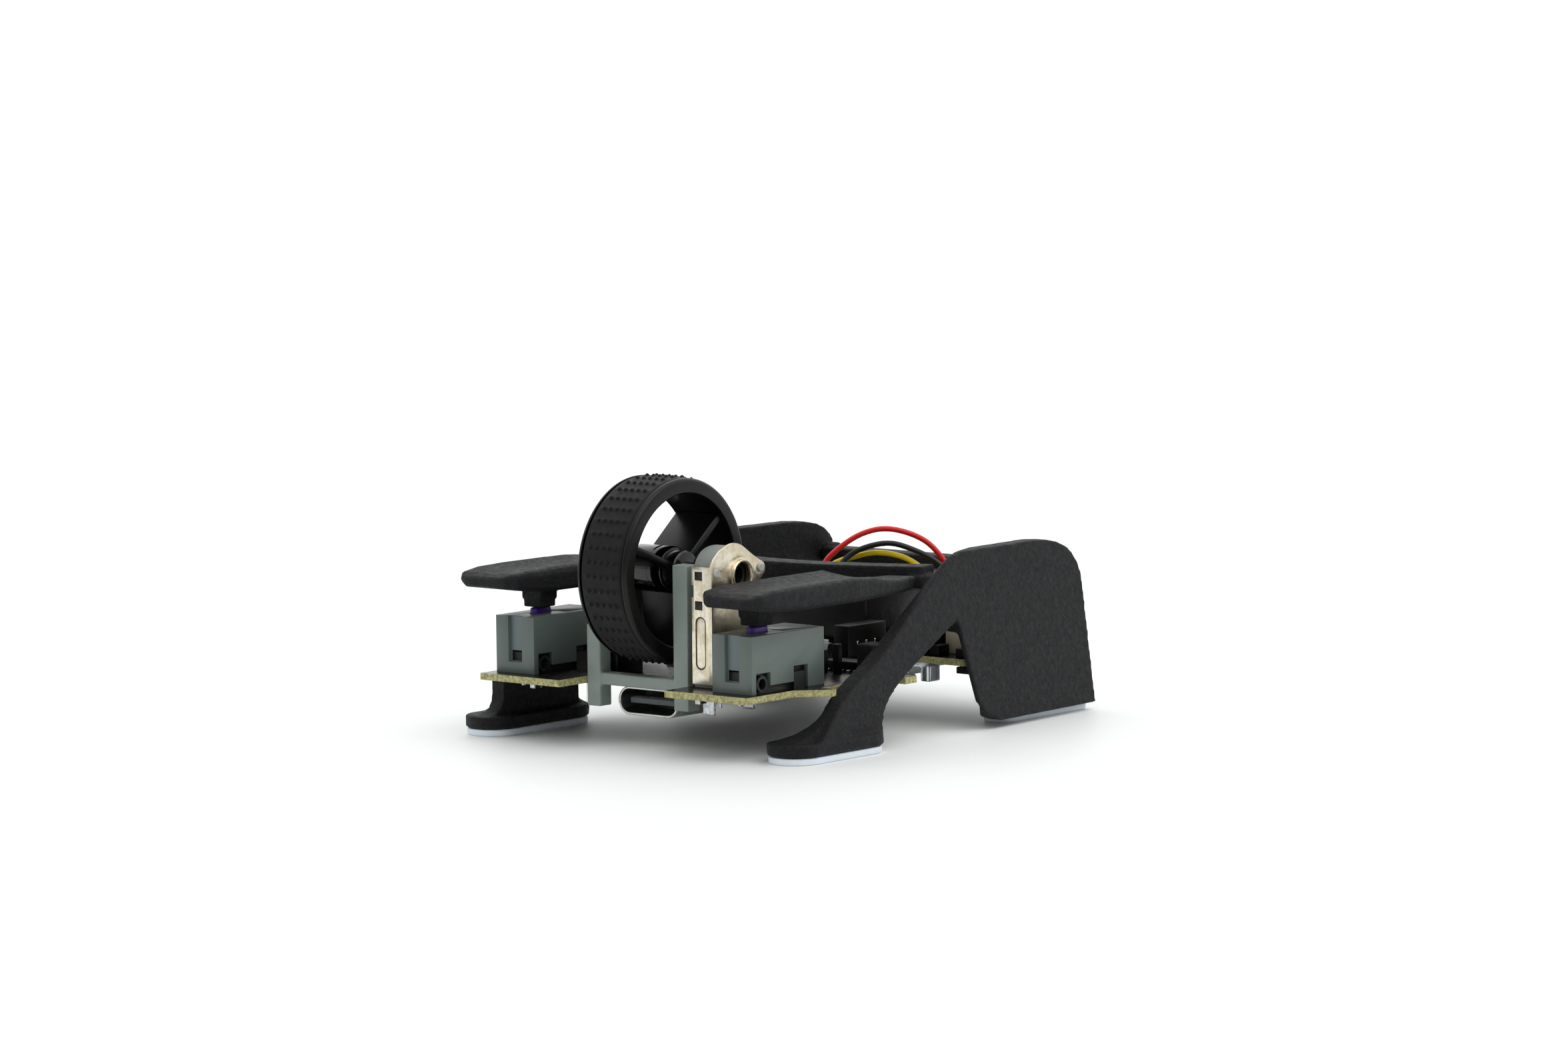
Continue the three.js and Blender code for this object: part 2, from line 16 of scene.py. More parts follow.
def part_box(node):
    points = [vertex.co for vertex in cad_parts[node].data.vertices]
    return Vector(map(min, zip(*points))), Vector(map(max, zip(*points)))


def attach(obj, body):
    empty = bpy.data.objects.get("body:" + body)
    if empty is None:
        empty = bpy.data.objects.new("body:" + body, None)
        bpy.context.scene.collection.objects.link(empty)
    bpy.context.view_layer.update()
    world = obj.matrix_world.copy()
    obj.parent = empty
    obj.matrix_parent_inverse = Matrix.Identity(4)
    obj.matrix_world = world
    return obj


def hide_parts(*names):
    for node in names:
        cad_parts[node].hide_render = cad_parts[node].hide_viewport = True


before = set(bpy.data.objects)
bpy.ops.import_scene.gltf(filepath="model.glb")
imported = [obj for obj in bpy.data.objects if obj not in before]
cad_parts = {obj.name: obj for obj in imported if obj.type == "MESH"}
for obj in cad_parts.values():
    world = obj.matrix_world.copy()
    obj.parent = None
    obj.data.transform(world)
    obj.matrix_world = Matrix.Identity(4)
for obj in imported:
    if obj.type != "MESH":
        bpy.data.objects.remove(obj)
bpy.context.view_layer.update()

MM = 0.001
SIDES = (("left", 1), ("right", -1))
TO_ROW = Matrix.Translation((0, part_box("left_switch_cover")[0].y, 0)) @ Matrix.Scale(MM, 4)
TO_DRAWING = TO_ROW.inverted()


# ---------- camera, floor and light ----------

CAMERA_YAW = math.radians(39.627)
CAMERA_PITCH = math.radians(6.017)
CAMERA_ROLL = math.radians(-0.655)
CAMERA_DISTANCE = 780.25
CAMERA_OFFSET = (18.251, 25.974)
CAMERA_LENS = 157.7
SENSOR_WIDTH = 36.0
SKY_LOW = 0.2
SKY_HIGH = 0.98
SKY_BACK = 0.55
SKY_LEFT = 0.5
LAMP_STRENGTH = 0.8
LAMP_FROM = (0.75, -0.05, 1.0)
LAMP_SPREAD = math.radians(55)
SKY_COLOUR = (0.985, 1.0, 0.99, 1)
FLOOR_REACH = 60.0


def make_camera():
    turn, tilt = CAMERA_YAW, CAMERA_PITCH
    back = Vector((math.sin(turn) * math.cos(tilt), -math.cos(turn) * math.cos(tilt), math.sin(tilt)))
    level = Vector((math.cos(turn), math.sin(turn), 0))
    upright = back.cross(level)
    right = math.cos(CAMERA_ROLL) * level + math.sin(CAMERA_ROLL) * upright
    up = back.cross(right)
    eye = back * CAMERA_DISTANCE + right * CAMERA_OFFSET[0] + up * CAMERA_OFFSET[1]
    data = bpy.data.cameras.new("camera")
    data.lens = CAMERA_LENS
    data.sensor_width = SENSOR_WIDTH
    data.sensor_fit = "HORIZONTAL"
    data.clip_start = 0.01
    data.clip_end = 200.0
    camera = bpy.data.objects.new("camera", data)
    camera.matrix_world = Matrix.Translation(TO_ROW @ eye) @ Matrix((right, up, back)).transposed().to_4x4()
    bpy.context.scene.collection.objects.link(camera)
    bpy.context.scene.camera = camera


def make_studio():
    """A sky that is bright overhead, behind and to the left, and a broad soft lamp."""
    world = bpy.data.worlds.new("studio")
    world.use_nodes = True
    tree = world.node_tree
    surround = tree.nodes["Background"]
    surround.inputs["Color"].default_value = SKY_COLOUR
    direction = tree.nodes.new("ShaderNodeTexCoord")
    parts = tree.nodes.new("ShaderNodeSeparateXYZ")
    tree.links.new(direction.outputs["Generated"], parts.inputs["Vector"])
    strengths = []
    slopes = (("Z", 1.0, SKY_LOW, SKY_HIGH), ("Y", 0.8, 0, SKY_BACK), ("X", -0.8, 0, SKY_LEFT))
    for axis, reach, low, high in slopes:
        ramp = tree.nodes.new("ShaderNodeMapRange")
        limits = {"From Min": 0.0, "From Max": reach, "To Min": low, "To Max": high}
        for label, value in limits.items():
            ramp.inputs[label].default_value = value
        tree.links.new(parts.outputs[axis], ramp.inputs["Value"])
        strengths.append(ramp.outputs["Result"])
    upward, backward, leftward = strengths
    total = math_node(tree, "ADD", math_node(tree, "ADD", upward, backward), leftward)
    tree.links.new(total, surround.inputs["Strength"])
    bpy.context.scene.world = world
    bpy.context.scene.view_settings.view_transform = "Standard"
    data = bpy.data.lights.new("overhead_lamp", "SUN")
    data.energy = LAMP_STRENGTH
    data.angle = LAMP_SPREAD
    lamp = bpy.data.objects.new("overhead_lamp", data)
    lamp.rotation_euler = Vector(LAMP_FROM).to_track_quat("Z", "Y").to_euler()
    bpy.context.scene.collection.objects.link(lamp)


# ---------- finishes ----------


def tone(red, green, blue):
    """A display colour of 0 to 255 as a linear colour."""
    def linear(value):
        share = value / 255
        return share / 12.92 if share <= 0.04045 else ((share + 0.055) / 1.055) ** 2.4

    return (linear(red), linear(green), linear(blue), 1.0)


def add_node(tree, kind, settings=None, **inputs):
    made = tree.nodes.new(kind)
    for key, value in (settings or {}).items():
        setattr(made, key, value)
    for key, value in inputs.items():
        made.inputs[key].default_value = value
    return made


def start_group(name, inputs, outputs):
    tree = bpy.data.node_groups.new(name, "ShaderNodeTree")
    for label, kind, value in inputs:
        socket = tree.interface.new_socket(label, in_out="INPUT", socket_type="NodeSocket" + kind)
        socket.default_value = value
    for label, kind in outputs:
        tree.interface.new_socket(label, in_out="OUTPUT", socket_type="NodeSocket" + kind)
    return tree, tree.nodes.new("NodeGroupInput"), tree.nodes.new("NodeGroupOutput")


def math_node(tree, operation, first, second, clamp=False):
    made = add_node(tree, "ShaderNodeMath", {"operation": operation, "use_clamp": clamp})
    for slot, value in zip(made.inputs, (first, second)):
        if isinstance(value, bpy.types.NodeSocket):
            tree.links.new(value, slot)
        else:
            slot.default_value = value
    return made.outputs[0]


def mix_colours(tree, share, first, second):
    made = add_node(tree, "ShaderNodeMix", {"data_type": "RGBA"})
    tree.links.new(share, made.inputs["Factor"])
    tree.links.new(first, made.inputs["A"])
    tree.links.new(second, made.inputs["B"])
    return made.outputs["Result"]


def noise_of_size(tree, size):
    """Noise on object coordinates whose grains are size millimetres across."""
    coordinates = tree.nodes.new("ShaderNodeTexCoord")
    noise = add_node(tree, "ShaderNodeTexNoise", Detail=3.0, Roughness=0.6)
    tree.links.new(coordinates.outputs["Object"], noise.inputs["Vector"])
    tree.links.new(math_node(tree, "DIVIDE", 1 / MM, size), noise.inputs["Scale"])
    return noise.outputs["Fac"]


def spread(tree, value, contrast):
    """Pulls a value in 0 to 1 away from its middle by contrast, then clamps it."""
    centred = math_node(tree, "SUBTRACT", value, 0.5)
    stretched = math_node(tree, "MULTIPLY", centred, contrast)
    return math_node(tree, "ADD", stretched, 0.5, clamp=True)


def build_mottle():
    tree, given, out = start_group(
        "mottled_colour",
        [("Light", "Color", (1, 1, 1, 1)), ("Dark", "Color", (0, 0, 0, 1)), ("Size", "Float", 1.0),
         ("Contrast", "Float", 1.0)],
        [("Color", "Color")],
    )
    fleck = spread(tree, noise_of_size(tree, given.outputs["Size"]), given.outputs["Contrast"])
    mixed = mix_colours(tree, fleck, given.outputs["Dark"], given.outputs["Light"])
    tree.links.new(mixed, out.inputs["Color"])
    return tree


def build_grain():
    tree, given, out = start_group(
        "surface_grain",
        [("Size", "Float", 0.2), ("Fine Share", "Float", 0.3)],
        [("Height", "Float")],
    )
    coarse = noise_of_size(tree, given.outputs["Size"])
    fine = noise_of_size(tree, math_node(tree, "MULTIPLY", given.outputs["Size"], 0.4))
    share = math_node(tree, "MULTIPLY", fine, given.outputs["Fine Share"])
    tree.links.new(math_node(tree, "ADD", coarse, share), out.inputs["Height"])
    return tree


def build_rubbed_edges():
    tree, given, out = start_group(
        "rubbed_edges",
        [("Base", "Color", (0, 0, 0, 1)), ("Rubbed", "Color", (1, 1, 1, 1)), ("Strength", "Float", 1.0)],
        [("Color", "Color"), ("Mask", "Float")],
    )
    shape = tree.nodes.new("ShaderNodeNewGeometry")
    raised = math_node(tree, "SUBTRACT", shape.outputs["Pointiness"], 0.52)
    sharp = math_node(tree, "MULTIPLY", raised, 12.0, clamp=True)
    broken = math_node(tree, "MULTIPLY", sharp, spread(tree, noise_of_size(tree, 0.5), 3.0))
    mask = math_node(tree, "MULTIPLY", broken, given.outputs["Strength"], clamp=True)
    tree.links.new(mask, out.inputs["Mask"])
    mixed = mix_colours(tree, mask, given.outputs["Base"], given.outputs["Rubbed"])
    tree.links.new(mixed, out.inputs["Color"])
    return tree


def build_sheen_patches():
    tree, given, out = start_group(
        "sheen_patches",
        [("Smooth", "Float", 0.3), ("Rough", "Float", 0.6), ("Size", "Float", 2.0)],
        [("Roughness", "Float")],
    )
    patch = spread(tree, noise_of_size(tree, given.outputs["Size"]), 2.0)
    reach = math_node(tree, "SUBTRACT", given.outputs["Rough"], given.outputs["Smooth"])
    scaled = math_node(tree, "MULTIPLY", patch, reach)
    tree.links.new(math_node(tree, "ADD", scaled, given.outputs["Smooth"]), out.inputs["Roughness"])
    return tree


MOTTLE = build_mottle()
GRAIN = build_grain()
RUBBED_EDGES = build_rubbed_edges()
SHEEN_PATCHES = build_sheen_patches()


def use_group(tree, group, **values):
    made = add_node(tree, "ShaderNodeGroup", {"node_tree": group})
    for key, value in values.items():
        made.inputs[key.replace("_", " ")].default_value = value
    return made


def make_finish(name, light, dark, fleck, contrast, sheen, grain, depth, rubbed=None, **fixed):
    """A mottled and grained finish. sheen is the lowest and highest roughness.

    fleck and grain are sizes and depth is a height, in millimetres. rubbed is the colour
    that raised edges wear to.
    """
    material = bpy.data.materials.new(name)
    material.use_nodes = True
    tree = material.node_tree
    shader = tree.nodes["Principled BSDF"]
    for key, value in fixed.items():
        shader.inputs[key.replace("_", " ")].default_value = value
    colour = use_group(tree, MOTTLE, Light=tone(*light), Dark=tone(*dark), Size=fleck, Contrast=contrast)
    result = colour.outputs["Color"]
    if rubbed:
        edges = use_group(tree, RUBBED_EDGES, Rubbed=tone(*rubbed), Strength=0.7)
        tree.links.new(result, edges.inputs["Base"])
        result = edges.outputs["Color"]
    tree.links.new(result, shader.inputs["Base Color"])
    gloss = use_group(tree, SHEEN_PATCHES, Smooth=sheen[0], Rough=sheen[1], Size=fleck * 3)
    tree.links.new(gloss.outputs["Roughness"], shader.inputs["Roughness"])
    height = use_group(tree, GRAIN, Size=grain, Fine_Share=0.4)
    bump = add_node(tree, "ShaderNodeBump", Strength=1.0, Distance=depth * MM)
    tree.links.new(height.outputs["Height"], bump.inputs["Height"])
    tree.links.new(bump.outputs["Normal"], shader.inputs["Normal"])
    return material


FINISHES = {
    "printed_nylon": make_finish(
        "printed_nylon", (22, 22, 27), (2, 2, 4), 0.22, 3.0, (0.46, 0.74), 0.24, 0.22,
        (46, 46, 50), IOR=1.36),
    "skate_ptfe": make_finish(
        "skate_ptfe", (236, 242, 250), (220, 228, 238), 2.0, 1.0, (0.35, 0.5), 0.8, 0.004),
    "switch_shell": make_finish(
        "switch_shell", (97, 107, 103), (90, 100, 96), 2.6, 1.2, (0.3, 0.4), 0.15, 0.002),
    "switch_slot": make_finish(
        "switch_slot", (104, 117, 119), (98, 111, 113), 2.6, 1.2, (0.35, 0.45), 0.15, 0.002),
    "switch_inside": make_finish(
        "switch_inside", (16, 17, 18), (8, 9, 10), 0.8, 1.5, (0.4, 0.6), 0.3, 0.01),
    "tongue_grey": make_finish(
        "tongue_grey", (84, 90, 94), (70, 76, 80), 0.8, 1.4, (0.35, 0.45), 0.3, 0.004),
    "violet_plunger": make_finish(
        "violet_plunger", (88, 34, 160), (58, 20, 118), 0.8, 1.4, (0.25, 0.4), 0.3, 0.006),
    "tyre_rubber": make_finish(
        "tyre_rubber", (10, 10, 10), (3, 3, 3), 0.4, 1.8, (0.5, 0.68), 0.12, 0.03, IOR=1.33),
    "rim_plastic": make_finish(
        "rim_plastic", (5, 5, 5), (2, 2, 2), 1.2, 1.4, (0.28, 0.4), 0.1, 0.006, IOR=1.36),
    "gloss_hub": make_finish(
        "gloss_hub", (7, 7, 8), (4, 4, 5), 2.0, 1.2, (0.06, 0.12), 1.5, 0.006),
    "encoder_grey": make_finish(
        "encoder_grey", (134, 138, 134), (116, 121, 117), 0.9, 1.4, (0.45, 0.6), 0.2, 0.01),
    "rivet_grey": make_finish(
        "rivet_grey", (196, 200, 194), (170, 174, 168), 0.6, 1.4, (0.4, 0.5), 0.2, 0.01),
    "bracket_grey": make_finish(
        "bracket_grey", (138, 147, 141), (126, 135, 130), 1.8, 1.3, (0.38, 0.5), 0.3, 0.01),
    "plated_steel": make_finish(
        "plated_steel", (243, 232, 208), (196, 180, 150), 1.3, 1.8, (0.22, 0.42), 0.7, 0.02,
        (250, 246, 236), Metallic=1.0),
    "bright_steel": make_finish(
        "bright_steel", (226, 225, 218), (178, 178, 174), 0.7, 1.6, (0.14, 0.28), 0.4, 0.006,
        Metallic=1.0),
    "solder": make_finish(
        "solder", (222, 224, 228), (150, 154, 160), 0.4, 2.0, (0.2, 0.4), 0.5, 0.03, Metallic=1.0),
    "solder_mask": make_finish(
        "solder_mask", (22, 20, 16), (11, 10, 8), 0.8, 2.0, (0.2, 0.3), 0.5, 0.008),
    "laminate_edge": make_finish(
        "laminate_edge", (202, 196, 142), (118, 112, 66), 0.34, 2.4, (0.55, 0.8), 0.18, 0.06),
    "chip_black": make_finish(
        "chip_black", (6, 6, 7), (3, 3, 3), 0.5, 1.6, (0.35, 0.55), 0.15, 0.008, IOR=1.36),
    "battery_wrap": make_finish(
        "battery_wrap", (14, 14, 16), (7, 8, 9), 2.4, 1.6, (0.25, 0.4), 3.0, 0.06),
    "connector_nylon": make_finish(
        "connector_nylon", (200, 190, 168), (180, 170, 148), 0.9, 1.4, (0.45, 0.6), 0.3, 0.01),
    "red_wire": make_finish(
        "red_wire", (232, 18, 22), (206, 10, 14), 1.2, 1.2, (0.3, 0.45), 0.5, 0.006),
    "black_wire": make_finish(
        "black_wire", (18, 19, 17), (9, 10, 8), 1.2, 1.2, (0.35, 0.5), 0.5, 0.006),
    "yellow_wire": make_finish(
        "yellow_wire", (250, 222, 6), (232, 198, 2), 1.2, 1.2, (0.3, 0.45), 0.5, 0.006),
    "clear_lens": make_finish(
        "clear_lens", (236, 240, 242), (220, 226, 230), 3.0, 1.0, (0.06, 0.14), 1.0, 0.01,
        Transmission_Weight=0.85, IOR=1.5),
    "studio_floor": make_finish(
        "studio_floor", (247, 249, 248), (245, 247, 246), 60.0, 1.0, (0.5, 0.55), 20.0, 0.0),
}


# ---------- making and joining meshes ----------


def from_bmesh(name, bm):
    bmesh.ops.recalc_face_normals(bm, faces=bm.faces)
    mesh = bpy.data.meshes.new(name)
    bm.to_mesh(mesh)
    bm.free()
    made = bpy.data.objects.new(name, mesh)
    bpy.context.scene.collection.objects.link(made)
    return made


def arc(centre_a, centre_b, radius, start, end, steps=8):
    """Points of an arc between two angles in degrees."""
    turns = [math.radians(start + (end - start) * i / steps) for i in range(steps + 1)]
    return [(centre_a + radius * math.cos(t), centre_b + radius * math.sin(t)) for t in turns]


def slot_outline(middle, low, high, radius, steps=14):
    """A slot with round ends, long in the second coordinate."""
    low_end = arc(middle, low + radius, radius, 180, 360, steps)
    high_end = arc(middle, high - radius, radius, 0, 180, steps)
    return low_end + high_end


def prism(name, outline, low, high, axis="Z"):
    """A closed outline raised along an axis. It is drawn in (x, y), (x, z) or (y, z)."""
    corner = {
        "Z": lambda a, b, h: (a, b, h),
        "Y": lambda a, b, h: (a, h, b),
        "X": lambda a, b, h: (h, a, b),
    }[axis]
    bm = bmesh.new()
    ends = [[bm.verts.new(corner(a, b, h)) for a, b in outline] for h in (low, high)]
    bm.faces.new(ends[0])
    bm.faces.new(ends[1])
    for i in range(len(outline)):
        j = (i + 1) % len(outline)
        bm.faces.new((ends[0][i], ends[0][j], ends[1][j], ends[1][i]))
    return from_bmesh(name, bm)


def block(name, x, y, z):
    """A box between the pairs x, y and z."""
    outline = [(x[0], y[0]), (x[1], y[0]), (x[1], y[1]), (x[0], y[1])]
    return prism(name, outline, z[0], z[1])


TURNS = {
    "X": Matrix.Rotation(math.radians(90), 4, "Y"),
    "Y": Matrix.Rotation(math.radians(-90), 4, "X"),
    "Z": Matrix.Identity(4),
}


def lathe(name, profile, centre, axis="Z", segments=48):
    """(radius, height) pairs turned about an axis through centre. Ends on radius 0 are closed."""
    bm = bmesh.new()
    rings = []
    for radius, height in profile:
        if radius == 0:
            rings.append([bm.verts.new((0, 0, height))] * segments)
            continue
        turns = [2 * math.pi * i / segments for i in range(segments)]
        rings.append([bm.verts.new((radius * math.cos(t), radius * math.sin(t), height)) for t in turns])
    for ring, following in zip(rings, rings[1:] + rings[:1]):
        for i in range(segments):
            j = (i + 1) % segments
            corners = list(dict.fromkeys((ring[i], ring[j], following[j], following[i])))
            if len(corners) > 2:
                bm.faces.new(corners)
    made = from_bmesh(name, bm)
    made.data.transform(Matrix.Translation(centre) @ TURNS[axis])
    return made


def rod(name, radius, low, high, centre, axis="Z", segments=32, edge=0.0):
    """A cylinder from low to high along the axis, measured from centre, with chamfered ends."""
    wall = [(radius, low), (radius, high)]
    if edge:
        wall = [(radius - edge, low), (radius, low + edge), (radius, high - edge), (radius - edge, high)]
    return lathe(name, [(0, low), *wall, (0, high)], centre, axis, segments)


def loft(name, sections):
    """Closed sections of equal length, skinned in order and capped."""
    bm = bmesh.new()
    rings = [[bm.verts.new(point) for point in section] for section in sections]
    for ring, following in zip(rings, rings[1:]):
        for i in range(len(ring)):
            j = (i + 1) % len(ring)
            bm.faces.new((ring[i], ring[j], following[j], following[i]))
    bm.faces.new(rings[0])
    bm.faces.new(rings[-1])
    return from_bmesh(name, bm)


def gather(name, parts):
    """Several meshes in one, without joining their surfaces."""
    bm = bmesh.new()
    for part in parts:
        bm.from_mesh(part.data)
        bpy.data.objects.remove(part)
    return from_bmesh(name, bm)


def settle(made):
    """Makes the modifiers' result the mesh itself."""
    shown = made.evaluated_get(bpy.context.evaluated_depsgraph_get())
    done = bpy.data.meshes.new_from_object(shown)
    made.modifiers.clear()
    made.data = done
    return made


def combine(made, operation, *tools):
    for tool in tools:
        step = made.modifiers.new("combine", "BOOLEAN")
        step.operation = operation
        step.solver = "EXACT"
        step.object = tool
    settle(made)
    for tool in tools:
        bpy.data.objects.remove(tool)
    return made


def carve(made, *tools):
    return combine(made, "DIFFERENCE", *tools)


def unite(made, *tools):
    return combine(made, "UNION", *tools)


def tablet(name, centre, size, heights, edge, segments=1):
    """A soft-edged box of a size in x and y about a centre, between two heights."""
    across, along = [(at - wide / 2, at + wide / 2) for at, wide in zip(centre, size)]
    return soften(block(name, across, along, heights), edge, segments)


def soften(made, width, segments=3, sharpest=30):
    bevel = made.modifiers.new("soften", "BEVEL")
    bevel.width = width
    bevel.segments = segments
    bevel.angle_limit = math.radians(sharpest)
    bevel.use_clamp_overlap = True
    return settle(made)


def fuse(name, parts, grid, rounds):
    """Joins overlapping solids into one skin and rounds its corners."""
    made = gather(name, parts)
    skin = made.modifiers.new("skin", "REMESH")
    skin.mode = "VOXEL"
    skin.voxel_size = grid
    smooth = made.modifiers.new("smooth", "SMOOTH")
    smooth.factor = 0.5
    smooth.iterations = rounds
    return settle(made)


def cad_copy(node):
    """A copy of a CAD node's mesh in drawing millimetres, with its vertices welded."""
    bm = bmesh.new()
    bm.from_mesh(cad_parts[node].data)
    bmesh.ops.transform(bm, matrix=TO_DRAWING, verts=bm.verts)
    bmesh.ops.remove_doubles(bm, verts=bm.verts, dist=1e-4)
    return from_bmesh(node + "_shape", bm)


def flat_cad_copy(node):
    """As cad_copy, with triangles in one plane merged into whole faces."""
    made = cad_copy(node)
    bm = bmesh.new()
    bm.from_mesh(made.data)
    bmesh.ops.dissolve_limit(bm, angle_limit=math.radians(1), verts=bm.verts, edges=bm.edges)
    bm.to_mesh(made.data)
    bm.free()
    return made


def span(node):
    """Lowest and highest corner of a CAD node in drawing millimetres."""
    low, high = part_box(node)
    return TO_DRAWING @ low, TO_DRAWING @ high


def middle(node):
    low, high = span(node)
    return (low + high) / 2


def mirror(made):
    """Turns a left piece into a right one."""
    bm = bmesh.new()
    bm.from_mesh(made.data)
    bmesh.ops.scale(bm, vec=(-1, 1, 1), verts=bm.verts)
    bmesh.ops.reverse_faces(bm, faces=bm.faces)
    bm.to_mesh(made.data)
    bm.free()
    return made


def place(made, name, body, finishes, nodes=(), sharpest=38):
    """Moves a finished piece into the row frame, names it, gives it its finishes and sets it on its body."""
    made.name = name
    made.data.transform(TO_ROW)
    for finish in finishes.split():
        made.data.materials.append(FINISHES[finish])
    made.data.shade_smooth()
    made.data.set_sharp_from_angle(angle=math.radians(sharpest))
    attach(made, body)
    if nodes:
        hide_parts(*nodes)
    return made


# ---------- printed frame ----------

GRID = 0.2
PAD_TOP = 2.3


def foot_fillet():
    """The concave web between the front foot's pad and the leg above it."""
    low, high = span("front_left_skate")
    inner = low.x + 0.3
    outer = 23.6
    bend = 3.6
    outline = [(outer, 1.6), (inner, 1.6), (inner, PAD_TOP)]
    outline += arc(inner - 0.3, PAD_TOP + bend, bend, -85, -6, 10) + [(outer, 6.2)]
    web = prism("foot_fillet", outline, low.y + 1.2, high.y - 1.2, "Y")
    leg_front = [(1.2, 1.0), (1.4, PAD_TOP), (4.6, 2.9), (6.6, 3.9), (8.4, 5.25), (11.6, 7.6)]
    leg_front += [(16.6, 7.8), (16.6, 1.0)]
    return combine(web, "INTERSECT", prism("leg_front", leg_front, 15, 30, "X"))


def wall_fillet():
    """The concave corner in front of the wall on the right front foot."""
    start = span("front_right_skate")[0].y + 0.5
    bend = 2.6
    top = 6.6
    outline = [(start + 4, top), (start + 4, 1.6), (start, 1.6), (start, PAD_TOP)]
    outline += arc(start - 0.2, PAD_TOP + bend, bend, -84, 0, 10) + [(start - 0.2 + bend, top)]
    return prism("wall_fillet", outline, -22.2, -20.2, "X")


def rear_knuckle(side):
    """The thickening where the rear bridge meets a grip plate."""
    low, high = span("frame_rear_bridge")
    profile = [(0, -1.5), (0.9, -1.2), (1.4, -0.3), (1.4, 1.0), (0, 1.5)]
    centre = (side * (high.x - 0.4), (low.y + high.y) / 2, high.z - 0.9)
    return lathe("rear_knuckle", profile, centre, "X", 24)


def grip_notch():
    """The wedge that thins the lower front corner of a grip plate from the inside."""
    return prism("grip_notch", [(20.4, 34.6), (23.0, 34.6), (23.0, 36.3), (20.4, 39.8)], 0.5, 3.3)


def arm_root():
    """The frame's own end of the left button's arm, behind the lip of the leg."""
    return block("arm_root", (17.4, 19.7), (29.9, 33.0), (16.95, 18.4))


def make_printed_frame():
    nodes = ["frame_left_side", "frame_right_side", "frame_front_bridge", "frame_rear_bridge"]
    parts = [cad_copy(node) for node in nodes]
    carve(parts[0], grip_notch())
    carve(parts[1], mirror(grip_notch()))
    parts += [foot_fillet(), mirror(foot_fillet()), wall_fillet(), rear_knuckle(1), rear_knuckle(-1)]
    parts += [arm_root(), mirror(arm_root())]
    made = fuse("printed_frame", parts, GRID, 5)
    place(made, "printed_frame", "frame", "printed_nylon", nodes, sharpest=180)


# Stations of a finger blade from its tip to its root: y, inner and outer edge, underside,
# height of the inner and of the outer rim, depth of the dish between them, and edge radius.
BLADE = [
    (-3.3, 16.2, 20.8, 18.0, 18.8, 18.7, 0.0, 0.3),
    (-3.0, 15.0, 21.8, 17.8, 19.1, 19.0, 0.0, 0.4),
    (-2.0, 13.8, 22.6, 17.6, 19.5, 19.4, 0.1, 0.55),
    (0.4, 13.4, 22.8, 17.25, 19.75, 19.75, 0.3, 0.75),
    (5.0, 13.4, 22.8, 17.0, 19.85, 19.85, 0.5, 0.8),
    (15.0, 13.4, 22.6, 16.95, 19.85, 19.8, 0.5, 0.8),
    (18.9, 13.4, 21.9, 16.9, 19.8, 19.5, 0.35, 0.7),
    (21.4, 14.4, 21.6, 16.9, 18.9, 19.0, 0.1, 0.5),
    (24.6, 15.3, 20.9, 16.85, 18.5, 18.6, 0.0, 0.35),
    (28.0, 15.9, 19.9, 16.85, 18.5, 18.6, 0.0, 0.3),
    (29.2, 17.6, 19.5, 16.9, 18.4, 18.5, 0.0, 0.3),
]


def blade_section(y, inner, outer, bottom, inner_top, outer_top, dish, edge):
    """The closed outline of a finger blade at one station."""
    width = outer - inner - 2 * edge
    bend = edge * (1 - math.sqrt(0.5))
    rim = [(inner, inner_top - edge), (inner + bend, inner_top - bend)]
    for t in (0, 0.12, 0.3, 0.5, 0.7, 0.88, 1):
        height = inner_top + (outer_top - inner_top) * t - dish * math.sin(math.pi * t)
        rim.append((inner + edge + width * t, height))
    rim += [(outer - bend, outer_top - bend), (outer, outer_top - edge)]
    below = [(outer - 0.2, bottom + 0.5), (outer - 0.8, bottom)]
    below += [(inner + 0.5, bottom), (inner + 0.1, bottom + 0.4)]
    return [(x, y, z) for x, z in rim + below]


def make_button(label, side):
    low = span("left_button")[0]
    post_top = BLADE[3][3] + 0.5
    blade = loft("blade", [blade_section(*station) for station in BLADE])
    post = block("post", (14.9, 17.6), (3.1, 5.7), (low.z, post_top))
    collar = block("post_collar", (14.75, 17.75), (2.95, 5.85), (post_top - 1.7, post_top))
    made = fuse("button", [blade, post, collar], GRID * 0.75, 4)
    if side < 0:
        mirror(made)
    place(made, f"{label}_finger_button", f"{label}_button", "printed_nylon",
          [f"{label}_button"], sharpest=180)


def make_skates():
    for node in ("front_left", "front_right", "rear_left", "rear_right"):
        low, high = span(f"{node}_skate")
        outline = slot_outline((low.x + high.x) / 2, low.y, high.y, (high.x - low.x) / 2, 20)
        made = soften(prism("skate", outline, low.z, high.z), 0.22, 4, 60)
        place(made, f"{node}_glide", "frame", "skate_ptfe", [f"{node}_skate"])


# ---------- main switches ----------


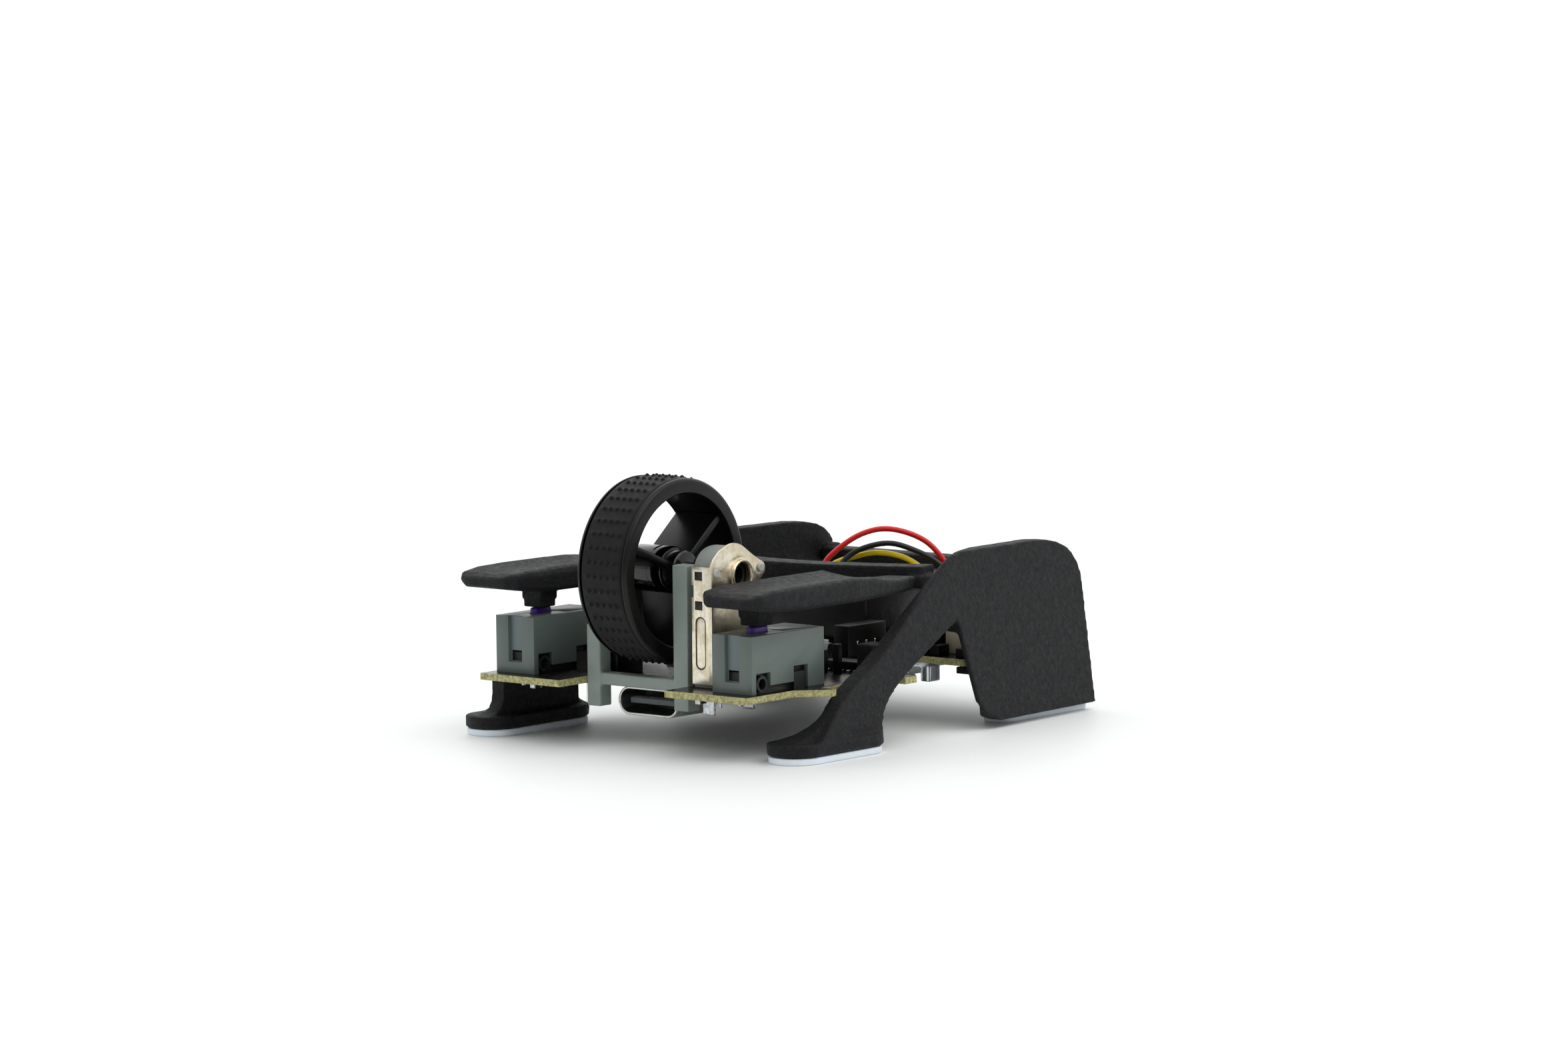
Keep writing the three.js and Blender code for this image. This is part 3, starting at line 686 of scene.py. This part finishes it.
def make_switch(label, side):
    low, high = span("left_switch_cover")
    centre = (low.x + high.x) / 2
    cover = block("cover", (low.x, high.x), (low.y, high.y), (low.z, high.z))
    inside = 0.65
    hollow = block("hollow", (low.x + inside, high.x - inside), (low.y + inside, high.y - inside),
                   (low.z - 1, high.z - 0.8))
    slot_half = 1.03
    slot_floor = low.z + 2.6
    front_slot = block("front_slot", (centre - slot_half, centre + slot_half), (low.y - 1, low.y + 0.55),
                       (low.z + 1.3, high.z + 1))
    slot_end = block("slot_end", (centre - slot_half + 0.1, centre + slot_half - 0.1), (low.y - 1, low.y + 1),
                     (low.z + 1.4, slot_floor))
    near = (high.x - 1.5, high.x + 1)
    far = (low.x - 1, low.x + 1.5)
    windows = []
    for reach in (near, far):
        windows += [
            block("window", reach, (0.8, 3.3), (low.z - 1, low.z + 2.35)),
            block("window", reach, (7.4, 9.9), (low.z - 1, low.z + 2.6)),
            block("channel", reach, (3.2, 7.5), (low.z - 1, low.z + 0.85)),
        ]
    plunger_low, plunger_high = span("left_switch_plunger")
    gap = 0.12
    plunger_half = (plunger_high.x - plunger_low.x) / 2
    well_outline = slot_outline(centre, plunger_low.y - gap, plunger_high.y + gap, plunger_half + gap)
    well = prism("well", well_outline, high.z - 1.5, high.z + 1)
    carve(cover, hollow, front_slot, slot_end, well, *windows)
    soften(cover, 0.11, 2, 40)
    slot_face = block("slot_face", (centre - slot_half, centre + slot_half), (low.y + 0.5, low.y + 0.6),
                      (slot_floor, high.z - 0.02))
    soften(slot_face, 0.02, 1)
    if side < 0:
        mirror(slot_face)
    place(slot_face, f"{label}_switch_slot", "frame", "switch_slot")
    label_pad = block("label_pad", (centre - 1.9, centre + 1.9), (7.0, 11.6), (high.z - 0.2, high.z + 0.07))
    soften(label_pad, 0.05, 2)
    cover = gather("cover", [cover, label_pad])

    base_low, base_high = span("left_switch_base")
    base = block("base", (base_low.x, base_high.x), (base_low.y, base_high.y), (base_low.z, base_high.z))
    lug = block("lug", (base_low.x - 0.45, base_high.x + 0.45), (7.7, 9.6), (base_low.z, base_low.z + 1.9))
    boss_at = (centre, 1.95, low.z + 1.1)
    reach_out = (high.x - low.x) / 2 - 0.12
    boss = rod("boss", 0.95, -reach_out, reach_out, boss_at, "X", 28)
    hole = rod("hole", 0.62, -4, 4, boss_at, "X", 28)
    unite(base, lug, boss)
    carve(base, hole)
    soften(base, 0.06, 2, 40)

    plunger_outline = slot_outline(centre, plunger_low.y, plunger_high.y, plunger_half)
    plunger = prism("plunger", plunger_outline, plunger_low.z, plunger_high.z)
    soften(plunger, 0.28, 4, 50)
    if side < 0:
        for made in (cover, base, plunger):
            mirror(made)
    place(cover, f"{label}_switch_shell", "frame", "switch_shell", [f"{label}_switch_cover"])
    place(base, f"{label}_switch_floor", "frame", "switch_inside", [f"{label}_switch_base"])
    place(plunger, f"{label}_switch_button", f"{label}_plunger", "violet_plunger",
          [f"{label}_switch_plunger"])


# ---------- wheel ----------

AXLE = middle("encoder_rotor")
AXLE_AT = (0, AXLE.y, AXLE.z)
TYRE_ROWS = 40
NUBS_PER_ROW = 5
NUB_PITCH = 0.95
NUB_SIDES = 8
SPOKE_ANGLES = (39, 159, 279)


def skin_between(bm, ring, following):
    """The band of faces between two rings of as many corners."""
    for i in range(len(ring)):
        j = (i + 1) % len(ring)
        bm.faces.new((ring[i], ring[j], following[j], following[i]))


def make_tyre():
    low, high = span("wheel_tyre")
    outer = (high.z - low.z) / 2
    half = (high.x - low.x) / 2
    skin = outer - 0.3
    seat = 10.02
    segments = TYRE_ROWS * 8
    bm = bmesh.new()
    rings = []
    for i in range(segments):
        turn = 2 * math.pi * i / segments
        ripple = 0.1 * max(0.0, math.cos(TYRE_ROWS * turn)) ** 2
        profile = [(seat, -half), (skin - 0.25, -half), (skin - 0.05, -half + 0.15), (skin, -half + 0.35)]
        rim = [(radius, x) for radius, x in profile]
        rim += [(skin + ripple, -half + 0.6), (skin + ripple, half - 0.6)]
        rim += [(radius, -x) for radius, x in reversed(profile)]
        rings.append([bm.verts.new((x, r * math.cos(turn), r * math.sin(turn))) for r, x in rim])
    for ring, following in zip(rings, rings[1:] + rings[:1]):
        skin_between(bm, ring, following)
    nub = [(0.30, skin - 0.1), (0.27, skin + 0.12), (0.17, skin + 0.22), (0.06, outer)]
    for row in range(TYRE_ROWS):
        turn = Matrix.Rotation(2 * math.pi * row / TYRE_ROWS, 4, "X")
        for k in range(NUBS_PER_ROW):
            x = (k - (NUBS_PER_ROW - 1) / 2) * NUB_PITCH
            loops = []
            for radius, height in nub:
                around = [2 * math.pi * i / NUB_SIDES for i in range(NUB_SIDES)]
                corners = [Vector((x + radius * math.cos(a), radius * math.sin(a), height)) for a in around]
                loops.append([bm.verts.new(turn @ corner) for corner in corners])
            for ring, following in zip(loops, loops[1:]):
                skin_between(bm, ring, following)
            bm.faces.new(loops[0])
            bm.faces.new(loops[-1])
    made = from_bmesh("tyre", bm)
    made.data.transform(Matrix.Translation(AXLE_AT))
    place(made, "ribbed_tyre", "wheel", "tyre_rubber", ["wheel_tyre"], sharpest=50)


def make_wheel():
    low, high = span("wheel_hub")
    half = -span("wheel_tyre")[0].x + 0.7
    lip = 10.55
    profile = [
        (8.95, -half), (10.05, -half), (10.3, -half + 0.06), (lip - 0.04, -half + 0.3), (lip, -half + 0.42),
        (lip, -half + 0.56), (10.25, -half + 0.62), (10.0, -half + 0.66),
        (10.0, half - 0.66), (10.25, half - 0.62), (lip, half - 0.56), (lip, half - 0.42),
        (lip - 0.04, half - 0.3), (10.3, half - 0.06), (10.05, half), (8.95, half),
        (8.82, half - 0.12), (8.75, 0.0), (8.82, -half + 0.12),
    ]
    rim = lathe("rim", profile, AXLE_AT, "X", 128)
    blades = []
    for angle in SPOKE_ANGLES:
        blade = soften(block("blade", (-3.2, 3.2), (2.0, 8.9), (-0.5, 0.5)), 0.3, 3)
        blade.data.transform(Matrix.Translation(AXLE_AT) @ Matrix.Rotation(math.radians(angle), 4, "X"))
        blades.append(blade)
    place(gather("wheel_rim", [rim, *blades]), "wheel_rim", "wheel", "rim_plastic",
          ["wheel_hub"])
    drum = [
        (0, -3.6), (1.5, -3.6), (1.6, -3.5), (1.6, -3.2), (2.3, -3.2), (2.6, -3.05), (2.7, -2.8),
        (2.7, 0.0), (2.6, 0.1), (2.6, 0.35), (2.7, 0.45), (2.7, 1.8), (2.55, 2.0), (2.3, 2.05),
        (2.3, 3.6), (2.15, 3.75), (1.5, 3.8), (1.1, 3.9), (1.0, 4.6), (0, 4.6),
    ]
    hub = lathe("drum", drum, AXLE_AT, "X", 64)
    axle = rod("axle", 1.0, low.x, -3.3, AXLE_AT, "X", 32, 0.15)
    hex_end = rod("hex_end", 0.9, 4.4, high.x, AXLE_AT, "X", 6, 0.1)
    place(gather("wheel_drum", [hub, axle, hex_end]), "wheel_drum", "wheel", "gloss_hub")


# ---------- encoder ----------


def make_encoder():
    low, high = span("encoder_cover")
    face = span("encoder_body")[1].x + 0.35
    top = high.z
    back_y, shoulder = high.y, 21.2
    outline = [(low.y, low.z + 0.45), (low.y, shoulder + 0.3), (low.y + 0.5, shoulder + 1.2),
               (low.y + 1.5, shoulder + 2.05)]
    outline += arc(AXLE.y - 1.25, top - 3.2, 3.2, 118, 58, 10)
    outline += [(AXLE.y + 2.25, shoulder + 1.1)] + arc(back_y - 0.95, shoulder - 0.55, 0.95, 80, -30, 8)
    outline += [(back_y - 0.9, shoulder - 1.7), (back_y - 0.9, low.z + 0.45)]
    plate = prism("plate", outline, face - 0.3, face, "X")
    flange = block("flange", (low.x, face), (low.y, low.y + 0.3), (low.z + 0.45, shoulder + 0.3))
    middle_x = 9.92
    window_heights = (20.45, 17.1)
    squares = [block("window", (middle_x - 0.55, middle_x + 0.55), (low.y - 1, low.y + 1), (z - 0.5, z + 0.5))
               for z in window_heights]
    notch = block("notch", (low.x - 1, low.x + 0.28), (low.y - 1, low.y + 1), (18.0, 19.4))
    slot_x = middle_x + 0.25
    long_slot = prism("long_slot", slot_outline(slot_x, 9.8, 15.85, 0.76), low.y - 1, low.y + 1, "Y")
    hole = rod("hole", 1.5, -3, 3, (face, AXLE.y, AXLE.z), "X", 48)
    unite(plate, flange)
    carve(plate, *squares, notch, long_slot, hole)
    soften(plate, 0.07, 2, 40)
    tongue = prism("tongue", slot_outline(slot_x, 9.94, 15.71, 0.62), low.y + 0.02, low.y + 0.3, "Y")
    soften(tongue, 0.1, 2, 60)
    collar_profile = [(1.5, -0.4), (1.5, 0.3), (1.58, 0.42), (1.72, 0.44), (1.82, 0.36), (1.86, 0.1)]
    collar_profile += [(2.05, 0.0), (2.05, -0.2)]
    collar = lathe("collar", collar_profile, (face, AXLE.y, AXLE.z), "X", 56)
    place(gather("cover", [plate, tongue, collar]), "encoder_shell", "frame", "plated_steel",
          ["encoder_cover"])

    rivets = [rod("rivet", 0.5, -0.2, 0.2, (face, y, 20.78), "X", 28, 0.1)
              for y in (low.y + 0.88, back_y - 0.83)]
    place(gather("rivets", rivets), "encoder_rivets", "frame", "rivet_grey")
    lugs = []
    for z in window_heights:
        lug = block("lug", (middle_x - 0.45, middle_x + 0.42), (low.y + 0.1, low.y + 0.9),
                    (z - 0.44, z + 0.44))
        lugs.append(soften(lug, 0.1, 2))
    body = flat_cad_copy("encoder_body")
    soften(body, 0.12, 2, 40)
    place(body, "encoder_housing", "frame", "encoder_grey", ["encoder_body"])
    place(gather("encoder_lugs", lugs), "encoder_lugs", "frame", "switch_inside")

    rotor_low, rotor_high = span("encoder_rotor")
    reach = (rotor_high.x - rotor_low.x) / 2
    profile = [(1.0, -reach), (2.45, -reach), (2.5, -reach + 0.05)]
    profile += [(2.5, reach - 0.05), (2.45, reach), (1.0, reach)]
    rotor = lathe("rotor", profile, AXLE, "X", 48)
    place(rotor, "encoder_wheel", "wheel", "switch_inside", ["encoder_rotor"])

    for end in ("front", "rear"):
        leg_low, leg_high = span(f"encoder_terminal_{end}")
        tab = block("tab", (leg_low.x - 0.35, leg_high.x + 0.35), (leg_low.y, leg_high.y),
                    (leg_low.z, leg_high.z + 0.2))
        pin = block("pin", (leg_high.x + 1.0, leg_high.x + 1.35), (leg_low.y + 0.1, leg_high.y - 0.1),
                    (leg_low.z + 1.0, leg_high.z + 0.2))
        made = fuse("leg", [soften(tab, 0.25, 3), pin], 0.07, 6)
        place(made, f"encoder_{end}_leg", "frame", "solder", [f"encoder_terminal_{end}"],
              sharpest=180)


def make_bracket():
    low, high = span("wheel_bracket")
    left_post = block("tall_post", (5.4, high.x), (low.y, high.y), (low.z + 0.3, high.z))
    right_post = block("short_post", (low.x, -5.6), (low.y, high.y), (low.z, 13.8))
    sill = block("sill", (-5.8, 5.8), (low.y + 0.15, high.y), (6.9, 8.3))
    made = fuse("bracket", [left_post, right_post, sill], 0.13, 5)
    place(made, "wheel_cradle", "frame", "bracket_grey", ["wheel_bracket"], sharpest=180)
    pin = rod("cradle_pin", 0.14, 4.7, 6.9, (low.x - 0.45, low.y + 0.6, 0), "Z", 16, 0.05)
    place(pin, "cradle_pin", "frame", "bright_steel")


def make_middle_switch():
    body = soften(flat_cad_copy("middle_switch_body"), 0.12, 2, 40)
    place(body, "wheel_switch", "frame", "chip_black", ["middle_switch_body"])
    low, high = span("middle_switch_plunger")
    centre = ((low.x + high.x) / 2, (low.y + high.y) / 2, 0)
    tip = rod("tip", (high.x - low.x) / 2, low.z, high.z, centre, "Z", 32, 0.12)
    place(tip, "wheel_switch_tip", "middle_plunger", "encoder_grey",
          ["middle_switch_plunger"])


# ---------- cable socket ----------


def round_ended(name, half_width, half_height, y, z):
    right = arc(half_width - half_height, 0, half_height, -90, 90, 16)
    left = arc(-half_width + half_height, 0, half_height, 90, 270, 16)
    return prism(name, [(a, b + z) for a, b in right + left], y[0], y[1], "Y")


def make_cable_socket():
    low, high = span("cable_socket_shell")
    z = (low.z + high.z) / 2
    half_width, half_height = high.x, (high.z - low.z) / 2
    wall = 0.3
    front = low.y - 0.5
    shell = round_ended("shell", half_width, half_height, (front, high.y), z)
    carve(shell, round_ended("mouth", half_width - wall, half_height - wall, (front - 1, high.y - 0.6), z))
    soften(shell, 0.1, 3, 50)
    place(shell, "socket_shell", "frame", "bright_steel", ["cable_socket_shell"])
    play = wall + 0.05
    back = round_ended("back", half_width - play, half_height - play, (high.y - 2.6, high.y - 0.7), z)
    tongue_low, tongue_high = span("cable_socket_tongue")
    tongue = soften(block("tongue", (tongue_low.x, tongue_high.x), (low.y + 0.25, high.y - 1),
                    (tongue_low.z, tongue_high.z)), 0.12, 3)
    place(back, "socket_back", "frame", "switch_inside")
    place(tongue, "socket_tongue", "frame", "tongue_grey", ["cable_socket_tongue"])
    contacts = []
    for k in range(12):
        x = (k - 5.5) * 0.5
        contact = block("contact", (x - 0.12, x + 0.12), (low.y + 0.7, high.y - 2),
                        (tongue_high.z - 0.02, tongue_high.z + 0.05))
        contacts.append(soften(contact, 0.03, 1))
    place(gather("contacts", contacts), "socket_contacts", "frame", "bright_steel")


# ---------- circuit board and what it carries ----------


# The larger parts on top of the board: centre in x and y, then width, depth and height.
BOARD_PARTS = (
    (12.0, 20.5, 1.6, 1.6, 2.6),
    (14.4, 21.0, 0.8, 0.8, 3.4),
    (17.4, 41.0, 1.4, 2.2, 1.1),
    (11.2, 43.2, 3.0, 5.6, 4.2),
    (13.8, 40.6, 1.4, 2.0, 1.3),
    (12.0, 48.5, 2.2, 2.2, 0.9),
)


def make_board():
    board = flat_cad_copy("main_board")
    soften(board, 0.05, 1, 60)
    for face in board.data.polygons:
        face.material_index = 0 if abs(face.normal.z) > 0.8 else 1
    place(board, "board_laminate", "frame", "solder_mask laminate_edge", ["main_board"])

    top, under = span("main_board")[1].z, span("main_board")[0].z
    draw = random.Random(11)
    chips, ends, blobs = [], [], []
    joint = [(0, under - 0.75), (0.25, under - 0.7), (0.4, under - 0.35)]
    joint += [(0.75, under + 0.02), (0, under + 0.02)]
    for _, side in SIDES:
        centre = middle("left_switch_cover").x * side
        for y in (1.4, 6.4, 11.4):
            blobs.append(lathe("joint", joint, (centre, y, 0), "Z", 20))
        for k in range(9):
            x = side * draw.uniform(10.4, 14.0)
            y = -0.4 + 2.7 * k
            length = draw.uniform(0.7, 1.3)
            chips.append(tablet("chip", (x, y), (0.7, length), (under - 0.55, under), 0.06))
            for end in (-1, 1):
                ends.append(tablet("end", (x, y + end * length / 2), (0.72, 0.28), (under - 0.57, under),
                                   0.05))
    for k in range(14):
        x = draw.uniform(-7.5, 8.0)
        y = draw.uniform(15.5, 24.0)
        chips.append(tablet("chip", (x, y), (1.0, 0.6), (top, top + 0.5), 0.06))
        for end in (-1, 1):
            ends.append(tablet("end", (x + end * 0.5, y), (0.28, 0.62), (top, top + 0.52), 0.05))
    for x, y, width, depth, height in BOARD_PARTS:
        chips.append(tablet("chip", (x, y), (width, depth), (top, top + height), 0.08, 2))
    place(gather("chips", chips), "board_chips", "frame", "chip_black")
    place(gather("chip_ends", ends + blobs), "board_solder", "frame", "solder")


def make_header():
    """The pin header, the ribbon clamp and the radio's can."""
    low, high = span("pin_header")
    body = soften(flat_cad_copy("pin_header"), 0.12, 2)
    place(body, "header_block", "frame", "chip_black", ["pin_header"])
    pins = [tablet("pin", (high.x + 0.09, y), (0.22, 0.32), (low.z + 0.3, low.z + 2.2), 0.05)
            for y in (32.0, 33.6, 35.2, 36.8)]
    place(gather("pins", pins), "header_pins", "frame", "bright_steel")

    low = span("ribbon_socket")[0]
    body = soften(flat_cad_copy("ribbon_socket"), 0.12, 2)
    place(body, "ribbon_clamp", "frame", "chip_black", ["ribbon_socket"])
    pads = [tablet("pad", (low.x + 0.9 + k, low.y - 0.2), (0.4, 0.6), (low.z, low.z + 0.25), 0.05)
            for k in range(7)]
    place(gather("pads", pads), "ribbon_pads", "frame", "solder")
    shield = soften(flat_cad_copy("radio_shield"), 0.15, 2)
    place(shield, "radio_can", "frame", "bright_steel", ["radio_shield"])


def make_sensor():
    chip = soften(flat_cad_copy("sensor_chip"), 0.12, 2)
    place(chip, "motion_sensor", "frame", "chip_black", ["sensor_chip"])
    lens = soften(flat_cad_copy("sensor_lens"), 0.2, 3, 40)
    place(lens, "motion_lens", "frame", "clear_lens", ["sensor_lens"])


def make_power():
    wrap = soften(flat_cad_copy("battery"), 0.5, 4, 40)
    place(wrap, "battery_pouch", "frame", "battery_wrap", ["battery"])
    for colour in ("red", "black", "yellow"):
        node = f"battery_wire_{colour}"
        made = fuse(node, [cad_copy(node)], 0.09, 6)
        place(made, f"{colour}_lead", "frame", f"{colour}_wire", [node], sharpest=180)
    low, high = span("battery_connector")
    body = block("body", (low.x, high.x), (low.y, high.y), (low.z, high.z))
    grooves = [block("groove", (high.x - 0.18, high.x + 1), (y - 0.16, y + 0.16), (low.z + 0.5, high.z + 1))
               for y in (low.y + 0.75, high.y - 0.75)]
    carve(body, *grooves)
    soften(body, 0.12, 2)
    place(body, "board_plug_socket", "frame", "connector_nylon", ["battery_connector"])
    plug = soften(flat_cad_copy("battery_plug"), 0.15, 2)
    place(plug, "lead_plug", "frame", "chip_black", ["battery_plug"])


def make_screws():
    for end in ("front", "rear"):
        for label, _ in SIDES:
            node = f"{end}_{label}_screw"
            low, high = span(node)
            turn = 0 if end == "rear" else math.pi
            reach = (high.z - low.z) / 2
            radius = (high.x - low.x) / 2
            profile = [(0, -reach), (radius, -reach), (radius, -reach + 0.25)]
            profile += [(radius * 0.85, reach - 0.12), (radius * 0.5, reach), (0, reach)]
            head = lathe("head", profile, (0, 0, 0), "Z", 32)
            depth = (reach - 0.25, reach + 1)
            short, long = (-0.14, 0.14), (-0.55, 0.55)
            carve(head, block("cut", short, long, depth), block("cut", long, short, depth))
            soften(head, 0.03, 1, 40)
            head.data.transform(Matrix.Translation(middle(node)) @ Matrix.Rotation(turn, 4, "X"))
            place(head, f"{end}_{label}_screw_head", "frame", "bright_steel", [node])


def make_floor():
    bm = bmesh.new()
    corners = ((-1, -1), (1, -1), (1, 1), (-1, 1))
    bm.faces.new([bm.verts.new((FLOOR_REACH * x, FLOOR_REACH * y, 0)) for x, y in corners])
    floor = from_bmesh("floor", bm)
    floor.data.materials.append(FINISHES["studio_floor"])


make_camera()
make_studio()
make_floor()
make_printed_frame()
make_skates()
for label, side in SIDES:
    make_button(label, side)
    make_switch(label, side)
make_tyre()
make_wheel()
make_encoder()
make_bracket()
make_middle_switch()
make_cable_socket()
make_board()
make_header()
make_sensor()
make_power()
make_screws()
